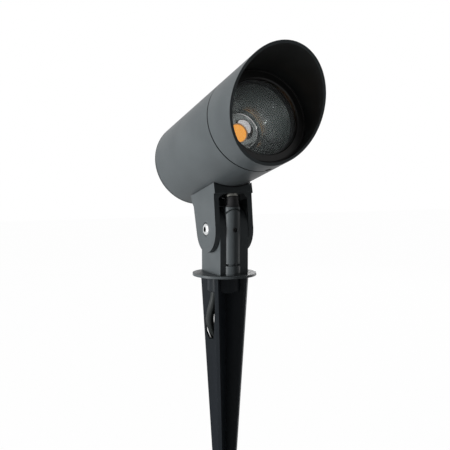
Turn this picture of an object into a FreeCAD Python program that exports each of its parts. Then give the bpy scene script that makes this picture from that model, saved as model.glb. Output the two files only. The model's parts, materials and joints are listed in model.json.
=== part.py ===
import FreeCAD, Part

import math
import os

import Sketcher
from FreeCAD import Placement, Rotation, Vector

# A garden spike spotlight, in millimetres. The origin is on the spike's axis at the underside
# of the round flange, which is ground level. +Z is up and the lamp looks towards -Y.
#
# The lamp head is drawn level and then turned about the pivot: its own origin is the pivot's
# centre, its axis runs along -Y above the pivot, and "ahead" is the distance in front of the
# pivot along that axis.

doc = FreeCAD.newDocument("garden_spike_spotlight")
sheet = doc.addObject("Spreadsheet::Sheet", "dims")

DIMENSIONS = [
    # lamp head, turned pieces
    ("lamp_radius", 38.0, "outside of the lamp tube"),
    ("head_tilt", 14.2, "degrees that the lamp looks up at rest"),
    ("tail_length", 47.2, "rear face behind the pivot"),
    ("seam_ahead", 69.8, "middle of the joint between housing and cowl"),
    ("seam_gap", 1.1, "width of the shadow line at that joint"),
    ("housing_wall", 2.5, "housing's wall round its front bore"),
    ("chamber_wall", 7.5, "housing's wall round the driver chamber"),
    ("shelf_ahead", 37.0, "step between the two bores, which carries the heat spreader"),
    ("edge_round", 1.2, "rounding of the rear edge"),
    ("fit_gap", 0.3, "radial clearance of pieces that slide together"),
    ("close_gap", 0.05, "clearance of screws, shafts and curved seats"),
    # rear cover
    ("cover_thickness", 3.0, "rear cover's plate"),
    ("cover_spigot", 7.0, "length of the rear cover's spigot"),
    ("cover_ring", 5.0, "wall of that spigot"),
    ("seal_depth", 1.9, "depth of the seal grooves"),
    ("seal_width", 2.3, "width of the seal grooves"),
    ("seal_slack", 0.12, "clearance of a seal in its groove"),
    ("cover_screw_edge", 4.4, "rear screws inside the lamp's outside"),
    # cowl and lens
    ("cowl_wall", 2.0, "wall of the glare cowl"),
    ("cowl_spigot", 12.0, "length of the cowl's spigot behind the seam"),
    ("spigot_wall", 3.2, "wall of that spigot"),
    ("rim_ahead", 108.4, "middle of the slanted rim"),
    ("rim_slant", 30.4, "degrees between the rim's plane and a square cut"),
    ("seat_ahead", 76.0, "front face of the lens seat"),
    ("seat_thickness", 4.0, "lens seat"),
    ("seat_width", 5.6, "lens seat inside the cowl's wall"),
    ("gasket_thickness", 1.0, "lens gasket"),
    ("glass_thickness", 4.0, "lens"),
    ("retainer_thickness", 3.5, "lens retaining ring"),
    ("retainer_width", 7.1, "lens retaining ring inside the cowl's wall"),
    ("retainer_bevel", 0.9, "bevels of the retaining ring"),
    ("grub_ahead", 74.0, "grub screw under the cowl"),
    ("grub_angle", 8.0, "degrees of the grub screw from straight down"),
    ("grub_radius", 2.0, "grub screw"),
    ("grub_sunk", 1.0, "depth of the grub screw under the surface"),
    # light engine
    ("spreader_thickness", 4.5, "heat spreader"),
    ("spreader_screw_edge", 5.5, "spreader screws inside the lamp's outside"),
    ("board_side", 19.0, "square LED board"),
    ("board_thickness", 1.2, "LED board"),
    ("phosphor_radius", 7.0, "lit disc of the LED"),
    ("phosphor_height", 0.8, "lit disc of the LED"),
    ("collar_flange", 19.0, "radius of the collar's foot"),
    ("collar_foot", 3.1, "height of the collar's foot"),
    ("collar_radius", 14.6, "outside of the collar"),
    ("collar_height", 6.9, "collar above the heat spreader"),
    ("collar_rim", 1.2, "width of the collar's upper edge"),
    ("collar_throat", 7.5, "radius of the collar's throat"),
    ("mouth_clear", 2.0, "reflector's mouth inside the lens seat"),
    ("reflector_wall", 1.0, "reflector"),
    # driver and wiring inside the head
    ("driver_width", 38.0, "LED driver across"),
    ("driver_height", 34.0, "LED driver upright"),
    ("driver_length", 36.0, "LED driver along the lamp"),
    ("driver_clear", 0.7, "LED driver's distance from the rear cover's spigot"),
    ("driver_seat", 0.3, "LED driver's lower edges above the chamber's wall"),
    ("cable_radius", 3.2, "sheath of the supply cable"),
    ("duct_radius", 3.7, "bore that the cable runs in"),
    ("duct_wall", 2.0, "boss behind that bore"),
    ("wire_radius", 0.9, "LED lead"),
    ("wire_spacing", 8.0, "distance between the two LED leads"),
    ("wire_height", 11.2, "LED leads above the lamp axis at the heat spreader"),
    ("wire_stand", 1.2, "LED leads in front of the heat spreader"),
    ("wire_start", 4.0, "LED leads above the lamp axis at the driver"),
    ("cable_entry", 9.9, "cable below the lamp axis where it enters the driver"),
    ("cable_swing", 12.5, "slanted stretch of the cable in the head, along and up"),
    # yoke
    ("yoke_width", 33.8, "over both ears"),
    ("plate_clear", 6.4, "underside of the yoke's plate above the stem's round top"),
    ("plate_thickness", 4.6, "yoke's plate where it is thinnest, under the lamp"),
    ("plate_front", 24.5, "front end of the plate ahead of the pivot"),
    ("plate_back", 23.0, "rear end of the plate behind the pivot"),
    ("ear_front", 22.3, "front edge of the ears under the plate"),
    ("ear_back", 20.0, "rear edge of the ears under the plate"),
    ("ear_radius", 19.0, "round lower end of the ears"),
    ("ear_step", 3.0, "height of the step from plate to ears"),
    ("shoulder", 3.6, "gussets inside the yoke"),
    ("rib_thickness", 4.0, "rib across the plate's underside"),
    ("rib_behind", 5.5, "rear face of that rib behind the pivot"),
    ("rib_gap", 0.9, "space between that rib and the stem's round top"),
    ("saddle_gap", 1.1, "space for the rubber pad between lamp and yoke"),
    ("pad_inset", 0.9, "rubber pad's edge inside the yoke's edge"),
    ("yoke_screw_front", 5.0, "front yoke screw ahead of the pivot"),
    ("yoke_screw_back", 13.0, "rear yoke screw behind the pivot"),
    ("yoke_screw_radius", 2.5, "yoke screws"),
    ("yoke_screw_length", 11.0, "yoke screws"),
    ("gland_ahead", 18.7, "cable gland ahead of the pivot"),
    ("gland_radius", 5.7, "cable gland"),
    ("gland_height", 2.2, "cable gland under the plate"),
    ("gland_neck", 4.2, "radius of the gland's neck in the plate"),
    ("neck_height", 4.0, "gland's neck"),
    # pivot
    ("hinge_height", 38.1, "pivot above ground level"),
    ("pivot_radius", 3.0, "pivot bolt"),
    ("pivot_head", 5.25, "radius of the bolt's button head"),
    ("pivot_head_height", 3.0, "bolt's button head"),
    ("pivot_recess", 2.0, "depth of the recess round the bolt's head"),
    ("recess_gap", 0.5, "space round the bolt's head in its recess"),
    ("washer_radius", 6.0, "washer under the pivot nut"),
    ("washer_thickness", 1.2, "washer under the pivot nut"),
    ("nut_flats", 10.0, "pivot nut across flats"),
    ("nut_height", 5.0, "pivot nut"),
    ("bush_radius", 4.5, "bush in the stem"),
    # stem
    ("stem_width", 24.7, "stem across"),
    ("stem_depth", 36.6, "stem front to back, and the diameter of its round top"),
    ("hollow_half_width", 8.6, "stem's hollow"),
    ("hollow_front", 15.5, "stem's hollow towards the front"),
    ("hollow_back", 9.0, "stem's hollow towards the back"),
    ("hollow_top", 28.0, "roof of the stem's hollow above ground level"),
    ("duct_front", 14.6, "cable duct in front of the axis"),
    ("duct_foot", 14.0, "lower end of the cable duct"),
    ("duct_flare", 6.2, "slot from the duct towards the axis"),
    ("duct_flare_top", 41.0, "top of that slot above ground level"),
    ("cable_bend_top", 28.95, "where the cable turns back to the axis"),
    ("cable_bend_foot", 15.8, "where the cable turns down the axis"),
    ("column_offset", -1.1, "half-round cover to the side of the stem's middle"),
    ("column_sink", 2.9, "centre of the cover's roundness behind the stem's front"),
    ("column_radius", 6.9, "half-round cover on the stem's front"),
    ("column_wall", 1.8, "half-round cover"),
    ("column_gap", 1.2, "line round the cover"),
    ("column_foot", 11.4, "lower end of the cover"),
    ("arch_height", 47.7, "where the cover's arched top begins"),
    ("boss_radius", 6.8, "half-round boss behind and above the cover"),
    ("boss_top", 56.9, "top of the boss"),
    ("collar_top", 9.6, "half-round foot of the boss"),
    ("foot_radius", 7.2, "half-round foot of the boss"),
    ("cover_screw_height", 38.7, "screw in the cover"),
    ("cover_screw_radius", 1.5, "small screws"),
    ("clip_screw_radius", 2.0, "screw in the cover"),
    ("clip_screw_sunk", 1.8, "that screw under the cover's front"),
    ("clip_screw_reach", 4.0, "that screw's inner end behind the cover's front"),
    ("boot_radius", 5.9, "rubber boot between stem and gland"),
    ("boot_gap", 0.25, "boot's clearance from stem and gland"),
    ("boot_front", 15.6, "boot's lower end in front of the axis"),
    # flange and swivel
    ("flange_radius", 26.4, "round flange"),
    ("flange_thickness", 2.0, "round flange"),
    ("flange_screw_x", 7.0, "flange screws beside the axis"),
    ("flange_screw_y", 13.6, "flange screws behind the axis"),
    ("flange_screw_radius", 2.0, "flange screws"),
    ("flange_screw_length", 12.0, "flange screws"),
    ("bolt_radius", 6.4, "hollow swivel bolt"),
    ("bolt_head_radius", 8.2, "hollow swivel bolt's head"),
    ("bolt_head_height", 4.5, "hollow swivel bolt's head"),
    ("bolt_bore", 3.6, "hollow swivel bolt's bore"),
    ("bolt_reach", 8.4, "hollow swivel bolt below ground level"),
    ("swivel_gap", 0.25, "running gap between flange and spike"),
    ("swivel_washer_radius", 9.5, "washer under the hub's web"),
    ("swivel_washer_thickness", 1.0, "washer under the hub's web"),
    ("swivel_nut_flats", 18.0, "thin nut on the hollow bolt"),
    ("swivel_nut_height", 3.2, "thin nut on the hollow bolt"),
    # spike
    ("hub_radius", 14.2, "hub of the spike"),
    ("hub_wall", 2.1, "hub of the spike"),
    ("hub_height", 13.5, "hub's lower edge below ground level"),
    ("hub_bevel", 1.2, "bevel of the hub's lower edge"),
    ("web_thickness", 3.0, "hub's top web"),
    ("blade_top_in_hub", 9.5, "where the blades begin inside the hub"),
    ("blade_thickness", 3.4, "blades of the spike"),
    ("blade_reach", 20.3, "blade's edge from the axis at ground level"),
    ("blade_reach_low", 8.2, "blade's edge from the axis where the point begins"),
    ("point_start", 185.0, "where the point begins below ground level"),
    ("spike_length", 215.0, "tip of the spike below ground level"),
    ("tip_reach", 1.2, "half width of the tip"),
    ("window_height", 41.5, "middle of the cable window below ground level"),
    ("window_across", 12.2, "middle of the cable window from the axis"),
    # free lead
    ("core_radius", 1.1, "stripped core"),
    ("core_length", 9.0, "stripped core"),
    ("core_spacing", 2.8, "distance between the stripped cores"),
]

# Radii that follow from the lamp's outside.
FOLLOWING = [
    ("front_bore", "=lamp_radius - housing_wall", "housing's front bore"),
    ("rear_bore", "=lamp_radius - chamber_wall", "driver chamber"),
    ("cover_screw_circle", "=lamp_radius - cover_screw_edge", "circle of the rear screws"),
    ("spigot_bore", "=front_bore - fit_gap - spigot_wall", "inside of the cowl's spigot"),
    ("seat_bore", "=lamp_radius - cowl_wall - seat_width", "inside of the lens seat"),
    ("retainer_bore", "=lamp_radius - cowl_wall - retainer_width", "inside of that ring"),
    ("spreader_screw_circle", "=lamp_radius - spreader_screw_edge", "spreader screws"),
    ("reflector_mouth", "=seat_bore - mouth_clear", "inside of the reflector's mouth"),
]

for row, (alias, value, words) in enumerate(DIMENSIONS + FOLLOWING, start=1):
    sheet.set(f"A{row}", words)
    sheet.set(f"B{row}", str(value))
    sheet.setAlias(f"B{row}", alias)
doc.recompute()


def size(words):
    """The present value of an expression in the sheet's names, with every name written bare."""
    return float(sheet.evalExpression(bind(words)))


def bind(words):
    """An expression in bare names, with the sheet's own name put before each."""
    out = []
    word = ""
    for letter in words + " ":
        if letter.isalnum() or letter == "_":
            word += letter
            continue
        out.append("dims." + word if word in NAMES else word)
        out.append(letter)
        word = ""
    return "".join(out).strip()


NAMES = {alias for alias, value, words in DIMENSIONS + FOLLOWING}
X = Vector(1, 0, 0)
Y = Vector(0, 1, 0)
Z = Vector(0, 0, 1)
LEVEL = Rotation()
FORWARD = Rotation(X, 90)       # turns a shape that stands along +Z to look towards -Y
SIDEWAYS = Rotation(Y, 90)      # turns a shape that stands along +Z to lie along +X
NODES = []


def set_size(thing, name, words):
    thing.setExpression(name, bind(words))


def place(thing, x="0", y="0", z="0", turn=LEVEL):
    """Puts a shape where three expressions say, turned by a fixed rotation."""
    thing.Placement = Placement(Vector(), turn)
    for axis, words in (("x", x), ("y", y), ("z", z)):
        set_size(thing, f"Placement.Base.{axis}", words)
    return thing


def keep(thing, label):
    """Marks a shape as one of the object's own pieces, under the name that it is stored by."""
    thing.Label = label
    NODES.append(thing)
    return thing


def tilt(thing, above="0"):
    """Turns a piece of the lamp head about the pivot, from level to its place at rest."""
    thing.Placement = Placement(Vector(), Rotation(-X, 1))
    set_size(thing, "Placement.Rotation.Angle", "head_tilt")
    set_size(thing, "Placement.Base.y", f"({above}) * sin(head_tilt)")
    set_size(thing, "Placement.Base.z", f"hinge_height + ({above}) * cos(head_tilt)")
    return thing


# ---- basic shapes ------------------------------------------------------------------------

def rod(name, radius, length, x="0", y="0", z="0", turn=LEVEL):
    thing = doc.addObject("Part::Cylinder", name)
    set_size(thing, "Radius", radius)
    set_size(thing, "Height", length)
    return place(thing, x, y, z, turn)


def cone(name, low_radius, high_radius, length, x="0", y="0", z="0", turn=LEVEL):
    thing = doc.addObject("Part::Cone", name)
    set_size(thing, "Radius1", low_radius)
    set_size(thing, "Radius2", high_radius)
    set_size(thing, "Height", length)
    return place(thing, x, y, z, turn)


def block(name, wide, deep, high, x="0", y="0", z="0", turn=LEVEL):
    """A box with its middle over (x, y) and its underside at z."""
    thing = doc.addObject("Part::Box", name)
    set_size(thing, "Length", wide)
    set_size(thing, "Width", deep)
    set_size(thing, "Height", high)
    return place(thing, f"({x}) - ({wide}) / 2", f"({y}) - ({deep}) / 2", z, turn)


def hexagon(name, flats, high, x="0", y="0", z="0", turn=LEVEL):
    thing = doc.addObject("Part::Prism", name)
    thing.Polygon = 6
    set_size(thing, "Circumradius", f"({flats}) / sqrt(3)")
    set_size(thing, "Height", high)
    return place(thing, x, y, z, turn)


def ring(name, outer, inner, length, x="0", y="0", z="0", turn=LEVEL):
    solid = rod(name + "_outside", outer, length, x, y, z, turn)
    bore = rod(name + "_bore", inner, length, x, y, z, turn)
    return cut(name, solid, bore)


def join(name, *shapes):
    thing = doc.addObject("Part::MultiFuse", name)
    thing.Shapes = list(shapes)
    return thing


def group(name, shapes):
    """Separate solids that share one name."""
    thing = doc.addObject("Part::Compound", name)
    thing.Links = list(shapes)
    return thing


def common(name, base, tool):
    thing = doc.addObject("Part::Common", name)
    thing.Base = base
    thing.Tool = tool
    return thing


def cut(name, base, *tools):
    thing = doc.addObject("Part::Cut", name)
    thing.Base = base
    thing.Tool = tools[0] if len(tools) == 1 else join(name + "_cuts", *tools)
    return thing


# ---- outlines, turned and padded pieces --------------------------------------------------

def outline(owner, name, plane, points):
    """A closed outline in one of a body's planes. A point is (across, up), two expressions.
    A third and fourth entry make the side that follows an arc: its radius, and which way
    round it goes."""
    sketch = owner.newObject("Sketcher::SketchObject", name)
    base = [part for part in owner.Origin.OriginFeatures if part.Role == plane][0]
    sketch.AttachmentSupport = (base, [""])
    sketch.MapMode = "FlatFace"
    spots = [Vector(size(point[0]), size(point[1]), 0) for point in points]
    for index, point in enumerate(points):
        start = spots[index]
        end = spots[(index + 1) % len(points)]
        if len(point) == 2:
            sketch.addGeometry(Part.LineSegment(start, end), False)
        else:
            sketch.addGeometry(arc_between(start, end, size(point[2]), point[3]), False)
    for index, point in enumerate(points):
        following = (index + 1) % len(points)
        clockwise = len(point) > 2 and point[3] == "clockwise"
        next_clockwise = len(points[following]) > 2 and points[following][3] == "clockwise"
        last = 1 if clockwise else 2
        first = 2 if next_clockwise else 1
        sketch.addConstraint(Sketcher.Constraint("Coincident", index, last, following, first))
    for index, point in enumerate(points):
        clockwise = len(point) > 2 and point[3] == "clockwise"
        vertex = 2 if clockwise else 1
        for kind, words, value in (("DistanceX", point[0], spots[index].x),
                                   ("DistanceY", point[1], spots[index].y)):
            drive(sketch, f"{kind[-1]}{index}", words,
                  Sketcher.Constraint(kind, -1, 1, index, vertex, value))
        if len(point) > 2:
            drive(sketch, f"R{index}", point[2],
                  Sketcher.Constraint("Radius", index, size(point[2])))
    return sketch


def arc_between(start, end, radius, way):
    """The arc of less than half a turn from start to end, or of just half a turn."""
    chord = end - start
    middle = (start + end) * 0.5
    rise = math.sqrt(max(radius ** 2 - (chord.Length / 2) ** 2, 0.0))
    side = Vector(-chord.y, chord.x, 0).normalize()
    centre = middle + side * (rise if way == "anticlockwise" else -rise)
    first, last = (start, end) if way == "anticlockwise" else (end, start)
    angles = [math.atan2(spot.y - centre.y, spot.x - centre.x) for spot in (first, last)]
    if angles[1] < angles[0]:
        angles[1] += 2 * math.pi
    return Part.ArcOfCircle(Part.Circle(centre, Z, radius), angles[0], angles[1])


def drive(sketch, name, words, constraint):
    number = sketch.addConstraint(constraint)
    sketch.renameConstraint(number, name)
    sketch.setExpression(f"Constraints.{name}", bind(words))


def circle_sketch(owner, name, plane, across, up, radius):
    sketch = owner.newObject("Sketcher::SketchObject", name)
    base = [part for part in owner.Origin.OriginFeatures if part.Role == plane][0]
    sketch.AttachmentSupport = (base, [""])
    sketch.MapMode = "FlatFace"
    centre = Vector(size(across), size(up), 0)
    sketch.addGeometry(Part.Circle(centre, Z, size(radius)), False)
    drive(sketch, "across", across, Sketcher.Constraint("DistanceX", -1, 1, 0, 3, centre.x))
    drive(sketch, "up", up, Sketcher.Constraint("DistanceY", -1, 1, 0, 3, centre.y))
    drive(sketch, "radius", radius, Sketcher.Constraint("Radius", 0, size(radius)))
    return sketch


def new_body(name):
    return doc.addObject("PartDesign::Body", name)


def turned(name, points):
    """A piece turned round the lamp's axis. A point is (radius, distance ahead)."""
    body = new_body(name)
    drawn = [(point[0], f"-({point[1]})") for point in points]
    sketch = outline(body, name + "_outline", "XY_Plane", drawn)
    feature = body.newObject("PartDesign::Revolution", name + "_turn")
    feature.Profile = sketch
    feature.ReferenceAxis = (sketch, ["V_Axis"])
    feature.Angle = 360
    return body


def pad(body, sketch, width):
    feature = body.newObject("PartDesign::Pad", sketch.Name + "_pad")
    feature.Profile = sketch
    feature.SideType = "Symmetric"
    set_size(feature, "Length", width)
    return feature


def pocket(body, sketch, width):
    """Cuts an outline out of a body, evenly to both sides of the sketch's plane."""
    doc.recompute()
    before = body.Shape.Volume
    feature = body.newObject("PartDesign::Pocket", sketch.Name + "_pocket")
    feature.Profile = sketch
    feature.SideType = "Symmetric"
    set_size(feature, "Length", width)
    doc.recompute()
    assert body.Shape.Volume < before, f"{sketch.Name} cuts nothing"
    return feature


# ---- cables ------------------------------------------------------------------------------

def cable(points, radius):
    """A round cable along straight runs joined by tangent arcs, each as large as its two
    runs allow. It prints its length, its bends and its volume."""
    corners = [Vector(*point) for point in points]
    edges = []
    radii = []
    start = corners[0]
    runs = [(after - before).Length for before, after in zip(corners, corners[1:])]
    # An end run serves one bend and a middle run two, and a little of each stays straight.
    shares = [0.9] + [0.45] * (len(runs) - 2) + [0.9]
    reaches = [run * share for run, share in zip(runs, shares)]
    for index, corner in enumerate(corners[1:-1]):
        inward = (corner - corners[index]).normalize()
        onward = (corners[index + 2] - corner).normalize()
        turn = inward.getAngle(onward)
        reach = min(reaches[index], reaches[index + 1])
        radii.append(reach / math.tan(turn / 2))
        leave = corner - inward * reach
        rejoin = corner + onward * reach
        bisector = (onward - inward).normalize()
        sagitta = radii[-1] * (1 / math.cos(turn / 2) - 1)
        edges.append(Part.LineSegment(start, leave).toShape())
        edges.append(Part.Arc(leave, corner + bisector * sagitta, rejoin).toShape())
        start = rejoin
    edges.append(Part.LineSegment(start, corners[-1]).toShape())
    path = Part.Wire(edges)
    first = (corners[1] - corners[0]).normalize()
    section = Part.Wire([Part.makeCircle(radius, corners[0], first)])
    solid = path.makePipeShell([section], True, False)
    wanted = math.pi * radius ** 2 * path.Length
    print(f"cable {path.Length:.1f} mm, bends {min(radii):.1f} to {max(radii):.1f} mm,",
          f"volume is {solid.Volume / wanted:.4f} of section times length")
    return solid


def fixed_shape(label, shape):
    thing = doc.addObject("Part::Feature", label)
    thing.Shape = shape
    return keep(thing, label)


# ---- the lamp head -----------------------------------------------------------------------

PLATE_UNDER = "(stem_depth / 2 + plate_clear)"
AXIS_HEIGHT = f"({PLATE_UNDER} + plate_thickness + saddle_gap + lamp_radius)"
HOUSING_FRONT = "(seam_ahead - seam_gap / 2)"
COWL_BACK = "(seam_ahead + seam_gap / 2)"
HOUSING_BACK = "(cover_thickness - tail_length)"
COWL_BORE = "(lamp_radius - cowl_wall)"
SPIGOT = "(front_bore - fit_gap)"
COVER_SPIGOT = "(rear_bore - fit_gap)"
SPREADER_FRONT = "(shelf_ahead + spreader_thickness)"
DRIVER_BACK = f"({HOUSING_BACK} + cover_spigot + driver_clear)"
DRIVER_FRONT = f"({DRIVER_BACK} + driver_length)"
BOARD_FRONT = f"({SPREADER_FRONT} + board_thickness)"
GLASS_BACK = "(seat_ahead + gasket_thickness)"
GLASS_FRONT = f"({GLASS_BACK} + glass_thickness)"
RIM_TOP = "(rim_ahead + lamp_radius * tan(rim_slant))"
BIG = "4 * lamp_radius"


def around(count, radius, first=0):
    """Places round the lamp's axis: (x, height above the axis) as expressions."""
    angles = [first + 360 * index / count for index in range(count)]
    return [(f"({radius}) * cos({angle})", f"({radius}) * sin({angle})") for angle in angles]


def turned_piece(label, points):
    return keep(tilt(turned(label, points), AXIS_HEIGHT), label)


def on_axis(thing, label):
    """A piece drawn round the lamp's axis, with that axis at its own height 0."""
    return keep(tilt(thing, AXIS_HEIGHT), label)


COVER_SCREWS = around(4, "cover_screw_circle", 45)
SPREADER_SCREWS = around(3, "spreader_screw_circle", 90)
SCREW_HOLE = "cover_screw_radius + close_gap"


def lamp_housing():
    shell = turned("housing_shell", [
        ("rear_bore", HOUSING_BACK),
        ("lamp_radius", HOUSING_BACK),
        ("lamp_radius", HOUSING_FRONT),
        ("front_bore", HOUSING_FRONT),
        ("front_bore", "shelf_ahead"),
        ("rear_bore", "shelf_ahead"),
    ])
    holes = []
    for x, up in COVER_SCREWS:
        holes.append(rod("cover_screw_hole", SCREW_HOLE, "cover_spigot + 4",
                         x, f"-{HOUSING_BACK}", up, FORWARD))
    for x, up in SPREADER_SCREWS:
        holes.append(rod("spreader_screw_hole", SCREW_HOLE, "9",
                         x, "9 - shelf_ahead", up, FORWARD))
    for ahead in ("yoke_screw_front", "-yoke_screw_back"):
        holes.append(rod("yoke_screw_hole", "yoke_screw_radius + close_gap", "lamp_radius",
                         "0", f"-({ahead})", f"-lamp_radius - 1"))
    holes.append(rod("cable_hole", "gland_neck + close_gap", "lamp_radius",
                     "0", "-gland_ahead", "-lamp_radius - 1"))
    on_axis(cut("lamp_housing", shell, *holes), "lamp_housing")


def rear_cover():
    groove = "cover_spigot / 2"
    plate = turned("rear_cover_plate", [
        ("0", "-tail_length"),
        ("lamp_radius - edge_round", "-tail_length"),
        ("lamp_radius", "edge_round - tail_length"),
        ("lamp_radius", f"{HOUSING_BACK} - seam_gap / 2"),
        (COVER_SPIGOT, f"{HOUSING_BACK} - seam_gap / 2"),
        (COVER_SPIGOT, f"{HOUSING_BACK} + {groove} - seal_width / 2"),
        (f"rear_bore - seal_depth", f"{HOUSING_BACK} + {groove} - seal_width / 2"),
        (f"rear_bore - seal_depth", f"{HOUSING_BACK} + {groove} + seal_width / 2"),
        (COVER_SPIGOT, f"{HOUSING_BACK} + {groove} + seal_width / 2"),
        (COVER_SPIGOT, f"{HOUSING_BACK} + cover_spigot"),
        ("rear_bore - cover_ring", f"{HOUSING_BACK} + cover_spigot"),
        ("rear_bore - cover_ring", HOUSING_BACK),
        ("0", HOUSING_BACK),
    ])
    holes = []
    for x, up in COVER_SCREWS:
        holes.append(rod("cover_hole", SCREW_HOLE, "cover_thickness + 2",
                         x, "tail_length + 1", up, FORWARD))
        holes.append(cone("cover_sink", "2 * cover_screw_radius + close_gap", SCREW_HOLE,
                          "cover_screw_radius", x, "tail_length", up, FORWARD))
    on_axis(cut("rear_cover", plate, *holes), "rear_cover")
    on_axis(seal("rear_seal", "rear_bore", f"{HOUSING_BACK} + {groove}"), "rear_seal")
    screws = []
    for x, up in COVER_SCREWS:
        head = cone("head", "2 * cover_screw_radius", "cover_screw_radius",
                    "cover_screw_radius", x, "tail_length", up, FORWARD)
        shank = rod("shank", "cover_screw_radius", "cover_thickness + cover_spigot",
                    x, "tail_length", up, FORWARD)
        socket = hexagon("socket", "cover_screw_radius * 4 / 3", "cover_screw_radius * 0.8",
                         x, "tail_length", up, FORWARD)
        screws.append(cut("rear_screw", join("rear_screw_body", head, shank), socket))
    on_axis(group("rear_cover_screws", screws), "rear_cover_screws")


def seal(name, bore, ahead):
    """A round seal that fills a groove up to the bore round it."""
    thing = doc.addObject("Part::Torus", name + "_torus")
    set_size(thing, "Radius1", f"{bore} - seal_depth / 2")
    set_size(thing, "Radius2", "seal_depth / 2 - seal_slack")
    place(thing, "0", f"-({ahead})", "0", FORWARD)
    return group(name + "_ring", [thing])


def glare_cowl():
    groove = "(seam_ahead - cowl_spigot / 2)"
    tube = turned("cowl_tube", [
        ("spigot_bore", "seam_ahead - cowl_spigot"),
        (SPIGOT, "seam_ahead - cowl_spigot"),
        (SPIGOT, f"{groove} - seal_width / 2"),
        ("front_bore - seal_depth", f"{groove} - seal_width / 2"),
        ("front_bore - seal_depth", f"{groove} + seal_width / 2"),
        (SPIGOT, f"{groove} + seal_width / 2"),
        (SPIGOT, COWL_BACK),
        ("lamp_radius", COWL_BACK),
        ("lamp_radius", f"{RIM_TOP} + 1"),
        (COWL_BORE, f"{RIM_TOP} + 1"),
        (COWL_BORE, "seat_ahead"),
        ("seat_bore", "seat_ahead"),
        ("seat_bore", "seat_ahead - seat_thickness"),
        ("spigot_bore", "seat_ahead - seat_thickness"),
    ])
    beyond = doc.addObject("Part::Box", "beyond_rim")
    for side in ("Length", "Width", "Height"):
        set_size(beyond, side, BIG)
    # The cutting block's rear face leans with the rim: it passes through the rim's middle.
    beyond.Placement = Placement(Vector(), Rotation(X, 1))
    set_size(beyond, "Placement.Rotation.Angle", "rim_slant")
    set_size(beyond, "Placement.Base.x", "-2 * lamp_radius")
    set_size(beyond, "Placement.Base.y",
             "-rim_ahead - 4 * lamp_radius * cos(rim_slant) + 2 * lamp_radius * sin(rim_slant)")
    set_size(beyond, "Placement.Base.z",
             "-4 * lamp_radius * sin(rim_slant) - 2 * lamp_radius * cos(rim_slant)")
    hole = grub_rod("grub_hole", "grub_radius + close_gap", "lamp_radius", "-1")
    on_axis(cut("glare_cowl", tube, beyond, hole), "glare_cowl")
    on_axis(seal("front_seal", "front_bore", groove), "front_seal")
    length = "lamp_radius - grub_sunk - seat_bore - 1"
    screw = grub_rod("grub_body", "grub_radius", length, "grub_sunk")
    socket = grub_rod("grub_socket", "grub_radius / 2", "grub_radius", "grub_sunk")
    on_axis(cut("cowl_grub_screw", screw, socket), "cowl_grub_screw")


def grub_rod(name, radius, length, depth):
    """A rod that starts at a depth under the cowl's skin and points at the lamp's axis."""
    thing = doc.addObject("Part::Cylinder", name)
    set_size(thing, "Radius", radius)
    set_size(thing, "Height", length)
    thing.Placement = Placement(Vector(), Rotation(-Y, 1))
    set_size(thing, "Placement.Rotation.Angle", "grub_angle")
    set_size(thing, "Placement.Base.x", f"(lamp_radius - ({depth})) * sin(grub_angle)")
    set_size(thing, "Placement.Base.y", "-grub_ahead")
    set_size(thing, "Placement.Base.z", f"-(lamp_radius - ({depth})) * cos(grub_angle)")
    return thing


def lens_stack():
    edge = f"({COWL_BORE} - fit_gap)"
    turned_piece("lens_gasket", [
        ("seat_bore", "seat_ahead"), (edge, "seat_ahead"),
        (edge, GLASS_BACK), ("seat_bore", GLASS_BACK),
    ])
    turned_piece("glass_lens", [
        ("0", GLASS_BACK), (edge, GLASS_BACK),
        (edge, f"{GLASS_FRONT} - 0.5"), (f"{edge} - 0.5", GLASS_FRONT), ("0", GLASS_FRONT),
    ])
    front = f"({GLASS_FRONT} + retainer_thickness)"
    turned_piece("lens_retaining_ring", [
        ("retainer_bore", GLASS_FRONT), (edge, GLASS_FRONT),
        (edge, f"{front} - retainer_bevel"), (f"{edge} - retainer_bevel", front),
        ("retainer_bore + retainer_bevel", front),
        ("retainer_bore", f"{front} - retainer_bevel"),
    ])


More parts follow.
